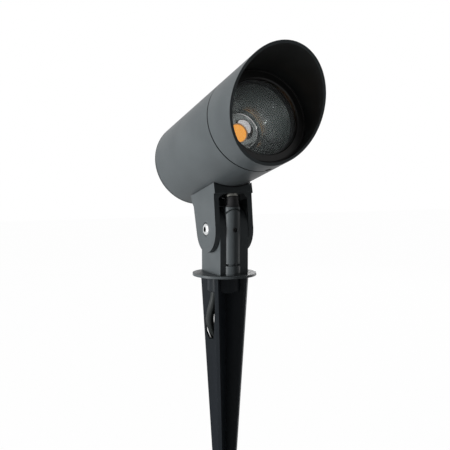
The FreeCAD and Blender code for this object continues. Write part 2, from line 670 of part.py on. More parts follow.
def light_engine():
    disc = rod("spreader_disc", "front_bore - fit_gap", "spreader_thickness",
               "0", "-shelf_ahead", "0", FORWARD)
    holes = [rod("spreader_hole", SCREW_HOLE, "spreader_thickness + 2", x, "1 - shelf_ahead",
                 up, FORWARD) for x, up in SPREADER_SCREWS]
    for side in (-1, 1):
        holes.append(rod("lead_hole", "wire_radius + fit_gap", "spreader_thickness + 2",
                         f"{side} * wire_spacing / 2", "1 - shelf_ahead", "wire_height",
                         FORWARD))
    on_axis(cut("heat_spreader", disc, *holes), "heat_spreader")
    screws = []
    for x, up in SPREADER_SCREWS:
        shank = rod("shank", "cover_screw_radius", "spreader_thickness + 8", x,
                    "8 - shelf_ahead", up, FORWARD)
        head = rod("head", "1.8 * cover_screw_radius", "1.2 * cover_screw_radius", x,
                   f"-{SPREADER_FRONT}", up, FORWARD)
        socket = hexagon("socket", "cover_screw_radius * 4 / 3", "cover_screw_radius", x,
                         f"-{SPREADER_FRONT} - 0.5 * cover_screw_radius", up, FORWARD)
        screws.append(cut("spreader_screw", join("spreader_screw_body", shank, head), socket))
    on_axis(group("heat_spreader_screws", screws), "heat_spreader_screws")
    board = block("led_board_plate", "board_side", "board_side", "board_thickness",
                  "0", "0", "0")
    place(board, "-board_side / 2", f"-{SPREADER_FRONT}", "-board_side / 2", FORWARD)
    on_axis(group("led_board_place", [board]), "led_board")
    phosphor = rod("phosphor_disc", "phosphor_radius", "phosphor_height",
                   "0", f"-{BOARD_FRONT}", "0", FORWARD)
    on_axis(group("phosphor_place", [phosphor]), "led_phosphor")
    pocket_edge = "(board_side * sqrt(2) / 2 + fit_gap)"
    roof = f"({BOARD_FRONT} + fit_gap)"
    turned_piece("led_collar", [
        (pocket_edge, SPREADER_FRONT), ("collar_flange", SPREADER_FRONT),
        ("collar_flange", f"{SPREADER_FRONT} + collar_foot"),
        ("collar_radius", f"{SPREADER_FRONT} + collar_foot"),
        ("collar_radius", f"{SPREADER_FRONT} + collar_height"),
        ("collar_radius - collar_rim", f"{SPREADER_FRONT} + collar_height"),
        ("collar_throat", f"{roof} + phosphor_height"),
        ("collar_throat", roof), (pocket_edge, roof),
    ])
    reflector()


def reflector():
    """A parabolic shell from the collar's foot to the lens, with a small rim."""
    back = f"({SPREADER_FRONT} + collar_foot + fit_gap)"
    front = "(seat_ahead - 0.2)"
    base = "(collar_radius + fit_gap)"
    steps = 6
    inside = []
    for step in range(steps + 1):
        share = step / steps
        radius = f"sqrt({base}^2 + (reflector_mouth^2 - {base}^2) * {share:.4f})"
        inside.append((radius, f"{back} + ({front} - {back}) * {share:.4f}"))
    outside = [(f"{radius} + reflector_wall", ahead) for radius, ahead in reversed(inside)]
    turned_piece("reflector", inside + outside)


def driver_and_wires():
    lower = "(driver_seat - sqrt(rear_bore^2 - driver_width^2 / 4))"
    case = block("driver_case", "driver_width", "driver_length", "driver_height",
                 "0", f"driver_length / 2 - {DRIVER_FRONT}", lower)
    rounded = doc.addObject("Part::Fillet", "driver_rounded")
    rounded.Base = case
    doc.recompute()
    along = [number + 1 for number, edge in enumerate(case.Shape.Edges)
             if abs(edge.tangentAt(edge.FirstParameter).y) > 0.9]
    rounded.Edges = [(number, 2.0, 2.0) for number in along]
    on_axis(group("driver_place", [rounded]), "led_driver")
    face = size(DRIVER_FRONT)
    reach = size(f"{SPREADER_FRONT} + wire_stand") - face
    axis = size(AXIS_HEIGHT)
    low = axis + size("wire_start")
    rise = size("wire_height") - size("wire_start")
    leads = []
    for side in (-1, 1):
        across = side * size("wire_spacing") / 2
        leads.append(cable([(across, -face - reach * along, low + rise * up)
                            for along, up in ((0, 0), (0.2, 0.1), (0.48, 0.8), (0.7, 1),
                                              (1, 1))], size("wire_radius")))
    at_rest(fixed_shape("led_leads", Part.makeCompound(leads)))
    ahead = size("gland_ahead")
    entry = axis - size("cable_entry")
    swing = size("cable_swing")
    at_rest(fixed_shape("head_cable", cable([
        (0, -ahead, size(f"{PLATE_UNDER} - gland_height")),
        (0, -ahead, entry - swing),
        (0, -ahead + swing, entry),
        (0, -face, entry),
    ], size("cable_radius"))))


def at_rest(thing):
    """The lamp head's turn about the pivot, for a shape drawn in the head's own frame."""
    return tilt(thing)


# ---- yoke --------------------------------------------------------------------------------

def yoke():
    body = new_body("yoke_block")
    top = f"({AXIS_HEIGHT} - lamp_radius + ear_step + 4)"
    side = outline(body, "yoke_side", "YZ_Plane", [
        ("plate_back", top),
        ("plate_back", f"{PLATE_UNDER} + ear_step"),
        ("ear_back", f"{PLATE_UNDER} - ear_step / 2"),
        ("ear_radius", "0", "ear_radius", "clockwise"),
        ("0", "-ear_radius", "ear_radius", "clockwise"),
        ("-ear_radius", "0"),
        ("-ear_front", PLATE_UNDER),
        ("-plate_front", PLATE_UNDER),
        ("-plate_front", top),
    ])
    pad(body, side, "yoke_width")
    inner = "(stem_width / 2 + fit_gap)"
    gap = outline(body, "ear_gap", "XZ_Plane", [
        (f"-{inner}", "-ear_radius - 1"),
        (inner, "-ear_radius - 1"),
        (inner, f"{PLATE_UNDER} - shoulder"),
        (f"{inner} - shoulder", PLATE_UNDER),
        (f"shoulder - {inner}", PLATE_UNDER),
        (f"-{inner}", f"{PLATE_UNDER} - shoulder"),
    ])
    pocket(body, gap, "3 * ear_front")
    pocket(body, circle_sketch(body, "saddle", "XZ_Plane", "0", AXIS_HEIGHT,
                               "lamp_radius + saddle_gap"), "3 * ear_front")
    pocket(body, circle_sketch(body, "pivot_hole", "YZ_Plane", "0", "0",
                               "pivot_radius + close_gap"), "yoke_width + 2")
    holes = [rod("bolt_recess", "pivot_head + recess_gap", "pivot_recess + 1",
                 "-yoke_width / 2 - 1", "0", "0", SIDEWAYS)]
    for ahead in ("yoke_screw_front", "-yoke_screw_back"):
        holes.append(rod("plate_hole", "yoke_screw_radius + close_gap", f"2 * {PLATE_UNDER}",
                         "0", f"-({ahead})", f"{PLATE_UNDER} / 2"))
        holes.append(cone("plate_sink", "1.8 * yoke_screw_radius + 0.2",
                          "yoke_screw_radius + close_gap", "yoke_screw_radius",
                          "0", f"-({ahead})", PLATE_UNDER))
    holes.append(rod("gland_hole", "gland_neck + close_gap", PLATE_UNDER,
                     "0", "-gland_ahead", f"{PLATE_UNDER} / 2"))
    low = f"(stem_depth / 2 + rib_gap)"
    rib = cut("plate_rib", block("rib_block", f"2 * {inner} + 1", "rib_thickness",
                                 f"{PLATE_UNDER} + 1 - {low} * 0.9", "0",
                                 "rib_behind - rib_thickness / 2", f"{low} * 0.9"),
              rod("rib_clearance", low, "yoke_width", "-yoke_width / 2", "0", "0", SIDEWAYS))
    keep(tilt(cut("yoke_drilled", join("yoke_casting", body, rib), *holes)), "yoke")


def yoke_fittings():
    skin = "(lamp_radius + close_gap)"
    pad_ring = ring("pad_ring", "lamp_radius + saddle_gap - close_gap", skin,
                    "plate_front + plate_back - 2 * pad_inset",
                    "0", "plate_back - pad_inset", AXIS_HEIGHT, FORWARD)
    span = block("pad_span", "yoke_width - 2 * pad_inset", "4 * plate_front",
                 AXIS_HEIGHT, "0", "0", "0")
    sector = common("pad_sector", pad_ring, span)
    holes = [rod("pad_hole", "yoke_screw_radius + fit_gap", AXIS_HEIGHT,
                 "0", f"-({ahead})", "0") for ahead in ("yoke_screw_front",
                                                        "-yoke_screw_back")]
    holes.append(rod("pad_cable_hole", "gland_neck + fit_gap", AXIS_HEIGHT,
                     "0", "-gland_ahead", "0"))
    keep(tilt(cut("pad_cut", sector, *holes)), "saddle_pad")
    screws = []
    for ahead in ("yoke_screw_front", "-yoke_screw_back"):
        where = ("0", f"-({ahead})")
        head = cone("head", "1.8 * yoke_screw_radius", "yoke_screw_radius",
                    "yoke_screw_radius * 0.9", *where, f"{PLATE_UNDER} + 0.1")
        shank = rod("shank", "yoke_screw_radius", "yoke_screw_length", *where,
                    f"{PLATE_UNDER} + 0.1")
        socket = hexagon("socket", "1.2 * yoke_screw_radius", "0.8 * yoke_screw_radius",
                         *where, f"{PLATE_UNDER} + 0.1")
        screws.append(cut("yoke_screw", join("yoke_screw_body", head, shank), socket))
    keep(tilt(group("yoke_screw_pair", screws)), "yoke_screws")
    rim = rod("gland_rim", "gland_radius", "gland_height", "0", "-gland_ahead",
              f"{PLATE_UNDER} - gland_height")
    neck = rod("gland_neck_rod", "gland_neck", "gland_height + neck_height",
               "0", "-gland_ahead", f"{PLATE_UNDER} - gland_height")
    bore = rod("gland_bore", "cable_radius + close_gap", "gland_height + neck_height",
               "0", "-gland_ahead", f"{PLATE_UNDER} - gland_height")
    keep(tilt(cut("gland_cut", join("gland_body", rim, neck), bore)), "cable_gland")


def pivot():
    floor = "(pivot_recess - yoke_width / 2)"
    bolt_length = "(yoke_width - pivot_recess + washer_thickness + nut_height + 1)"
    head = cone("bolt_head", "pivot_head * 0.62", "pivot_head", "pivot_head_height * 0.62",
                f"{floor} - pivot_head_height", "0", "0", SIDEWAYS)
    collar = rod("bolt_collar", "pivot_head", "pivot_head_height * 0.38",
                 f"{floor} - pivot_head_height * 0.38", "0", "0", SIDEWAYS)
    shank = rod("bolt_shank", "pivot_radius", bolt_length, floor, "0", "0", SIDEWAYS)
    socket = hexagon("bolt_socket", "pivot_radius * 4 / 3", "pivot_head_height * 0.6",
                     f"{floor} - pivot_head_height", "0", "0", SIDEWAYS)
    keep(tilt(cut("bolt_cut", join("bolt_body", head, collar, shank), socket)), "pivot_bolt")
    outside = "yoke_width / 2"
    washer = ring("washer_ring", "washer_radius", "pivot_radius + close_gap",
                  "washer_thickness", outside, "0", "0", SIDEWAYS)
    keep(tilt(washer), "pivot_washer")
    seat = f"({outside} + washer_thickness)"
    nut = hexagon("nut_hexagon", "nut_flats", "nut_height", seat, "0", "0", SIDEWAYS)
    thread = rod("nut_thread", "pivot_radius + close_gap", "nut_height",
                 seat, "0", "0", SIDEWAYS)
    keep(tilt(cut("nut_cut", nut, thread)), "pivot_nut")
    bush = ring("bush_ring", "bush_radius", "pivot_radius + close_gap", "stem_width",
                "-stem_width / 2", "0", "hinge_height", SIDEWAYS)
    keep(bush, "pivot_bush")


# ---- stem --------------------------------------------------------------------------------

STEM_FRONT = "(stem_depth / 2)"


COLUMN_FRONT = f"({STEM_FRONT} + column_radius - column_sink)"
BOSS_WIDTH = "(2 * sqrt(boss_radius^2 - column_sink^2))"


def half_round(name, radius, low, high):
    """The part of an upright rod that stands out of the stem's front face."""
    high_side = f"({high}) - ({low})"
    full = rod(name + "_rod", radius, high_side, "column_offset",
               f"column_sink - {STEM_FRONT}", low)
    front = block(name + "_front", f"2 * ({radius}) + 2", f"({radius}) + 1", high_side,
                  "column_offset", f"-{STEM_FRONT} - (({radius}) + 1) / 2", low)
    return common(name, full, front)


def arch(name, half_width, low):
    """An upright slab with a half-round top, reaching forward through the column."""
    deep = "(4 * column_radius)"
    slab = block(name + "_slab", f"2 * ({half_width})", deep, f"arch_height - ({low})",
                 "column_offset", f"-{STEM_FRONT}", low)
    crown = rod(name + "_crown", half_width, deep,
                "column_offset", f"{deep} / 2 - {STEM_FRONT}", "arch_height", FORWARD)
    return join(name, slab, crown)


def stem():
    body = new_body("stem_block")
    side = outline(body, "stem_side", "YZ_Plane", [
        (STEM_FRONT, "flange_thickness"),
        (STEM_FRONT, "hinge_height", STEM_FRONT, "anticlockwise"),
        ("0", f"hinge_height + {STEM_FRONT}", STEM_FRONT, "anticlockwise"),
        (f"-{STEM_FRONT}", "hinge_height"),
        (f"-{STEM_FRONT}", "flange_thickness"),
    ])
    pad(body, side, "stem_width")
    boss = half_round("boss", "boss_radius", "flange_thickness", "boss_top")
    foot = half_round("boss_foot", "foot_radius", "flange_thickness", "collar_top")
    web_deep = f"({STEM_FRONT} - duct_front + duct_radius + duct_wall)"
    web = block("boss_web", BOSS_WIDTH, web_deep, "boss_top - hinge_height", "column_offset",
                f"-{STEM_FRONT} + {web_deep} / 2", "hinge_height")
    casting = join("stem_casting", body, boss, foot, web)
    gap_radius = "column_radius - column_wall - close_gap"
    shell = cut("seat_shell", half_round("seat_outer", "column_radius + 1", "collar_top",
                                         "boss_top"),
                half_round("seat_inner", gap_radius, "collar_top", "boss_top"))
    seat = common("cover_seat", shell, arch("seat_arch", "column_radius + column_gap",
                                            "collar_top"))
    hollow = block("stem_hollow", "2 * hollow_half_width", "hollow_front + hollow_back",
                   "hollow_top - flange_thickness", "0",
                   "(hollow_back - hollow_front) / 2", "flange_thickness")
    duct = rod("stem_duct", "duct_radius", "2 * boss_top - duct_foot",
               "0", "-duct_front", "duct_foot")
    flare = block("duct_slot", "2 * duct_radius", "duct_flare",
                  "duct_flare_top - duct_foot", "0", "duct_flare / 2 - duct_front",
                  "duct_foot")
    bore = rod("bush_bore", "bush_radius + close_gap", "stem_width + 2",
               "-stem_width / 2 - 1", "0", "hinge_height", SIDEWAYS)
    tapped = [rod("flange_screw_hole", "flange_screw_radius + close_gap",
                  "flange_screw_length + 1", f"{side} * flange_screw_x", "flange_screw_y",
                  "0") for side in (-1, 1)]
    clamp = rod("clip_screw_hole", "clip_screw_radius + close_gap", "clip_screw_reach",
                "column_offset", f"clip_screw_reach + close_gap - {COLUMN_FRONT}",
                "cover_screw_height", FORWARD)
    keep(cut("stem_cut", casting, seat, hollow, duct, flare, bore, clamp, *tapped), "stem")


def stem_fittings():
    shell = cut("cover_shell", half_round("cover_outer", "column_radius", "column_foot",
                                          "boss_top"),
                half_round("cover_inner", "column_radius - column_wall", "column_foot",
                           "boss_top"))
    cover = common("cover_arched", shell, arch("cover_arch", "column_radius", "column_foot"))
    front = f"(-{COLUMN_FRONT})"
    hole = rod("screw_pass", "clip_screw_radius + close_gap", "2 * column_wall",
               "column_offset", f"{front} + 1.5 * column_wall", "cover_screw_height", FORWARD)
    keep(cut("cover_cut", cover, hole), "cable_cover")
    shank = rod("clip_shank", "clip_screw_radius", "clip_screw_reach - clip_screw_sunk",
                "column_offset", f"{front} + clip_screw_reach", "cover_screw_height", FORWARD)
    socket = hexagon("clip_socket", "clip_screw_radius", "clip_screw_radius",
                     "column_offset", f"{front} + clip_screw_sunk + clip_screw_radius * 0.6",
                     "cover_screw_height", FORWARD)
    keep(cut("clip_cut", shank, socket), "cable_cover_screw")
    disc = ring("flange_disc", "flange_radius", "bolt_radius + close_gap",
                "flange_thickness")
    holes = []
    screws = []
    for side in (-1, 1):
        where = (f"{side} * flange_screw_x", "flange_screw_y")
        holes.append(rod("flange_hole", "flange_screw_radius + close_gap", "4", *where, "-1"))
        holes.append(cone("flange_sink", "2 * flange_screw_radius",
                          "flange_screw_radius + close_gap", "flange_screw_radius * 0.9",
                          *where, "0"))
        tip = cone("head", "2 * flange_screw_radius - 0.2", "flange_screw_radius",
                   "flange_screw_radius * 0.8", *where, "0")
        shank = rod("shank", "flange_screw_radius", "flange_screw_length", *where, "0")
        socket = hexagon("socket", "1.2 * flange_screw_radius", "flange_screw_radius * 0.7",
                         *where, "0")
        screws.append(cut("flange_screw", join("flange_screw_body", tip, shank), socket))
    keep(cut("flange_cut", disc, *holes), "base_flange")
    keep(group("flange_screw_pair", screws), "flange_screws")


def boot():
    """A rubber boot from the boss to the gland: round at both ends, leaning with the cable."""
    lower = Part.Wire([Part.makeCircle(
        size("boot_radius"),
        Vector(size("column_offset") / 2, -size("boot_front"), size("boss_top + boot_gap")),
        Z)])
    angle = math.radians(size("head_tilt"))
    ahead = size("gland_ahead")
    up = size(f"{PLATE_UNDER} - gland_height - boot_gap")
    normal = Vector(0, math.sin(angle), math.cos(angle))
    along = Vector(0, -math.cos(angle), math.sin(angle))
    centre = Vector(0, 0, size("hinge_height")) + along * ahead + normal * up
    upper = Part.Wire([Part.makeCircle(size("boot_radius"), centre, normal)])
    fixed_shape("cable_boot", Part.makeLoft([lower, upper], True, True))


def stem_cable():
    """Down the duct, back to the stem's axis in its hollow, and down the hollow bolt."""
    front = -size("duct_front")
    fixed_shape("stem_cable", cable([
        (0, front, size("boss_top + boot_gap")),
        (0, front, size("cable_bend_top")),
        (0, 0, size("cable_bend_foot")),
        (0, 0, 0.5 - size("bolt_reach")),
    ], size("cable_radius")))


def swivel():
    top = "(flange_thickness + bolt_head_height)"
    shank = rod("bolt_tube", "bolt_radius", f"{top} + bolt_reach", "0", "0", "-bolt_reach")
    head = rod("bolt_flange", "bolt_head_radius", "bolt_head_height",
               "0", "0", "flange_thickness")
    bore = rod("bolt_way", "bolt_bore", f"{top} + bolt_reach", "0", "0", "-bolt_reach")
    keep(cut("hollow_bolt_cut", join("hollow_bolt_body", shank, head), bore), "hollow_bolt")
    under_web = "(swivel_gap + web_thickness)"
    washer_low = f"({under_web} + swivel_gap / 2 + swivel_washer_thickness)"
    keep(ring("swivel_washer_ring", "swivel_washer_radius", "bolt_radius + close_gap",
              "swivel_washer_thickness", "0", "0", f"-{washer_low}"), "swivel_washer")
    nut = hexagon("swivel_hexagon", "swivel_nut_flats", "swivel_nut_height",
                  "0", "0", f"-{washer_low} - swivel_nut_height")
    thread = rod("swivel_thread", "bolt_radius + close_gap", "swivel_nut_height",
                 "0", "0", f"-{washer_low} - swivel_nut_height")
    keep(cut("swivel_nut_cut", nut, thread), "swivel_nut")


# ---- spike -------------------------------------------------------------------------------

BLADE_SLOPE = "((blade_reach - blade_reach_low) / point_start)"


def blade(name):
    body = new_body(name)
    side = outline(body, name + "_side", "XZ_Plane", [
        ("blade_reach", "-swivel_gap"),
        ("-blade_reach", "-swivel_gap"),
        ("-blade_reach_low", "-point_start"),
        ("-tip_reach", "-spike_length"),
        ("tip_reach", "-spike_length"),
        ("blade_reach_low", "-point_start"),
    ])
    pad(body, side, "blade_thickness")
    return body


def ground_spike():
    across = blade("blade_across")
    across.Placement = Placement(Vector(), Rotation(Z, 45))
    along = blade("blade_along")
    # The window follows the slanting cable closely: half its height is 4.1 cable radii.
    above = "(-window_height + 4.1 * cable_radius)"
    below = "(-window_height - 4.1 * cable_radius)"
    window = outline(along, "cable_window", "XZ_Plane", [
        ("window_across - 1.1 * cable_radius", above),
        ("window_across - 0.1 * cable_radius", above),
        ("window_across + cable_radius + 1.1", "-window_height + 1.4 * cable_radius"),
        ("window_across + cable_radius + 0.4", "-window_height - 2.2 * cable_radius"),
        ("window_across + 0.2 * cable_radius", below),
        ("window_across - 0.9 * cable_radius", below),
        ("window_across - cable_radius - 0.4", "-window_height - 2.3 * cable_radius"),
        ("window_across - cable_radius - 0.6", "-window_height + 2.3 * cable_radius"),
    ])
    pocket(along, window, "2 * blade_thickness")
    along.Placement = Placement(Vector(), Rotation(Z, 135))
    hub = rod("hub_rod", "hub_radius", "hub_height - swivel_gap - hub_bevel",
              "0", "0", "hub_bevel - hub_height")
    bevel = cone("hub_foot", "hub_radius - hub_bevel", "hub_radius", "hub_bevel",
                 "0", "0", "-hub_height")
    cavity_top = "(-swivel_gap - web_thickness)"
    mouth = rod("hub_mouth", "hub_radius - hub_wall", "hub_height - blade_top_in_hub + 1",
                "0", "0", "-hub_height - 1")
    tube = cut("hub_tube", join("hub_solid", hub, bevel), mouth)
    cross = join("spike_cross", across, along)
    cavity = rod("hub_cavity", "hub_radius - hub_wall",
                 f"{cavity_top} + blade_top_in_hub", "0", "0", "-blade_top_in_hub")
    bore = rod("web_bore", "bolt_radius + close_gap", "web_thickness + 2",
               "0", "0", f"{cavity_top} - 1")
    keep(cut("spike_cut", join("spike_body", tube, cross), cavity, bore), "ground_spike")


def by_window(outward, off, down):
    """A place beside the windowed blade, told from the middle of the window: further out
    along the blade, off the blade's middle plane, and further down."""
    out = size("window_across") + outward
    return Vector(-(out + off) * math.sqrt(0.5), (out - off) * math.sqrt(0.5),
                  -size("window_height") - down)


def supply_cable():
    """The free lead leaves the hub between two blades, goes through the window to the back
    of the spike, and hangs there."""
    route = [
        (-8.5, 0.0, -8.8),
        (-8.77, 0.14, -16.5),
        by_window(-4.05, 6.0, -17.5),
        by_window(-1.4, 4.6, -10.0),
        by_window(0.3, 1.5, -2.0),
        by_window(0.1, -2.6, 6.0),
        by_window(-1.7, -5.9, 14.5),
        by_window(-3.9, -7.3, 24.5),
        (0.0, 9.9, -79.5),
        (0.1, 9.6, -97.0),
        (-0.3, 9.8, -120.0),
        (0.4, 9.5, -146.0),
        (-0.1, 9.9, -173.0),
        (0.0, 9.6, -198.0),
    ]
    fixed_shape("supply_cable", cable(route, size("cable_radius")))
    end = Vector(*route[-1])
    cores = []
    for side in (-1, 1):
        foot = end + Vector(side * size("core_spacing") / 2, 0, 0)
        cores.append(Part.makeCylinder(size("core_radius"), size("core_length"), foot, -Z))
    fixed_shape("bare_cores", Part.makeCompound(cores))


lamp_housing()
rear_cover()
glare_cowl()
lens_stack()
light_engine()
driver_and_wires()
yoke()
yoke_fittings()
pivot()
stem()
stem_fittings()
boot()
stem_cable()
swivel()
ground_spike()
supply_cable()
doc.recompute()

failed = [thing.Name for thing in doc.Objects
          if any(word in thing.State for word in ("Invalid", "Error"))]
assert not failed, f"these did not build: {failed}"
os.makedirs("parts", exist_ok=True)
for node in NODES:
    assert not node.Shape.isNull() and node.Shape.isValid(), f"{node.Label} is not valid"
    assert node.Shape.Volume > 0, f"{node.Label} is empty"
for node in NODES:
    node.Shape.exportStep(f"parts/{node.Label}.step")
    print(f"{node.Label:22s} {len(node.Shape.Solids)} solid(s) {node.Shape.Volume:10.1f} mm3")
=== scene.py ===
import json
from math import cos, pi, radians, sin, sqrt, tan

import bpy
from mathutils import Matrix, Vector

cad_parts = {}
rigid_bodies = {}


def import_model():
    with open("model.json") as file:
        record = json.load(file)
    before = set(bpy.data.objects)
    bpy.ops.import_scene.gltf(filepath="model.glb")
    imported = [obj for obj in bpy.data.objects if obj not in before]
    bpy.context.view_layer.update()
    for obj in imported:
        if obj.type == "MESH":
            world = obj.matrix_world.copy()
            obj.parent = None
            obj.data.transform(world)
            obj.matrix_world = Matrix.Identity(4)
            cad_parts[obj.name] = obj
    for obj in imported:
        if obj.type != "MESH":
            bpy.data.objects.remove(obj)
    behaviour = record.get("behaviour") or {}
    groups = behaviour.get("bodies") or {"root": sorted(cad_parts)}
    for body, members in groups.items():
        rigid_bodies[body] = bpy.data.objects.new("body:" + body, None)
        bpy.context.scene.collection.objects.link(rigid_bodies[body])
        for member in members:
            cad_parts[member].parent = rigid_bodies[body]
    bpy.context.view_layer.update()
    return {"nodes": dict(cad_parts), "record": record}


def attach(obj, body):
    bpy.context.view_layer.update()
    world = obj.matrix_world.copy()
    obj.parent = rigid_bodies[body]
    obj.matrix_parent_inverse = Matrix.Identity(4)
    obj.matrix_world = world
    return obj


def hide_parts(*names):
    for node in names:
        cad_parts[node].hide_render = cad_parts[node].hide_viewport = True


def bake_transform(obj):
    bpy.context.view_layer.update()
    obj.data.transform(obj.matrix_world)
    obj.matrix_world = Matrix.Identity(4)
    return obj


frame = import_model()

MM = 0.001
WELD = 1e-6  # Points nearer to each other than this, in metres, become one.
FLAT = radians(0.8)  # Faces that meet at less than this are one flat face.
GRAIN_DEPTH = 0.0002
SHEEN_SPREAD = 0.06
TILT = radians(14.2)
PIVOT_HEIGHT = 38.1
PIVOT = Vector((0, 0, PIVOT_HEIGHT)) * MM
AXIS_HEIGHT = 68.4
LAMP_RADIUS = 38
# The lamp head's own frame: x across, -y ahead of the pivot, z above it.
HEAD = Matrix.Translation(PIVOT) @ Matrix.Rotation(-TILT, 4, "X")
# Pieces turned round the lamp's axis are drawn standing up, with z as the distance ahead.
LAMP = (HEAD @ Matrix.Translation((0, 0, AXIS_HEIGHT * MM))
        @ Matrix.Rotation(radians(90), 4, "X"))


# ---- the photograph's view ---------------------------------------------------------------

def photograph_camera():
    place = (-0.23745, -0.49629, 0.08211)
    pitch, turn = radians(85.742), radians(-25.615)
    bpy.ops.object.camera_add(location=place, rotation=(pitch, 0, turn))
    camera = bpy.context.object
    camera.name = "photograph_camera"
    camera.data.sensor_width = 36
    camera.data.lens = 53.52
    camera.data.clip_start = 0.01
    bpy.context.scene.camera = camera


# ---- finishes ----------------------------------------------------------------------------

def shader(name):
    material = bpy.data.materials.new(name)
    material.use_nodes = True
    return material, material.node_tree.nodes, material.node_tree.links


def grain(nodes, links, scale, stretch=(1, 1, 1), detail=3.0, roughness=0.5):
    """Noise that stays in place on a piece. The scale is in waves to a metre."""
    place = nodes.new("ShaderNodeTexCoord")
    mapping = nodes.new("ShaderNodeMapping")
    mapping.inputs["Scale"].default_value = stretch
    noise = nodes.new("ShaderNodeTexNoise")
    noise.inputs["Scale"].default_value = scale
    noise.inputs["Detail"].default_value = detail
    noise.inputs["Roughness"].default_value = roughness
    links.new(place.outputs["Object"], mapping.inputs["Vector"])
    links.new(mapping.outputs["Vector"], noise.inputs["Vector"])
    return noise.outputs["Fac"]


def ramp(nodes, links, source, low, high, start=0.3, end=0.7):
    """Turns a pattern of 0 to 1 into two colours or two grey levels."""
    scale = nodes.new("ShaderNodeValToRGB")
    stops = scale.color_ramp.elements
    for stop, spot, value in ((stops[0], start, low), (stops[1], end, high)):
        stop.position = spot
        stop.color = (value, value, value, 1) if isinstance(value, float) else (*value, 1)
    links.new(source, scale.inputs["Fac"])
    return scale.outputs["Color"]


def bump(nodes, links, surface, pattern, strength):
    relief = nodes.new("ShaderNodeBump")
    relief.inputs["Strength"].default_value = strength
    relief.inputs["Distance"].default_value = GRAIN_DEPTH
    links.new(pattern, relief.inputs["Height"])
    links.new(relief.outputs["Normal"], surface.inputs["Normal"])


def coated(name, dark, light, mottle, rough, fine, strength, metal=0.0,
           stretch=(1, 1, 1), specular=0.5):
    """A surface whose colour drifts between two values, with a fine grain in its relief and
    in how it shines."""
    material, nodes, links = shader(name)
    surface = nodes["Principled BSDF"]
    surface.inputs["Metallic"].default_value = metal
    surface.inputs["Specular IOR Level"].default_value = specular
    drift = grain(nodes, links, mottle, stretch)
    links.new(ramp(nodes, links, drift, dark, light), surface.inputs["Base Color"])
    texture = grain(nodes, links, fine, stretch, detail=2.0)
    sheen = ramp(nodes, links, texture, rough - SHEEN_SPREAD, rough + SHEEN_SPREAD)
    links.new(sheen, surface.inputs["Roughness"])
    bump(nodes, links, surface, texture, strength)
    return material


def painted_glow(material, colour, strength):
    """Painted glow: the LED is off, yet its yellow silicone is given a light of its own, so
    that it stays bright orange inside the dark cowl.
    """
    surface = material.node_tree.nodes["Principled BSDF"]
    surface.inputs["Emission Color"].default_value = (*colour, 1)
    surface.inputs["Emission Strength"].default_value = strength
    return material


def clear(name, colour, alpha, rough):
    """Thin glass with a faint haze in how it shines."""
    material, nodes, links = shader(name)
    surface = nodes["Principled BSDF"]
    surface.inputs["Base Color"].default_value = (*colour, 1)
    surface.inputs["Alpha"].default_value = alpha
    haze = grain(nodes, links, 220)
    links.new(ramp(nodes, links, haze, rough, rough + 0.04), surface.inputs["Roughness"])
    return material


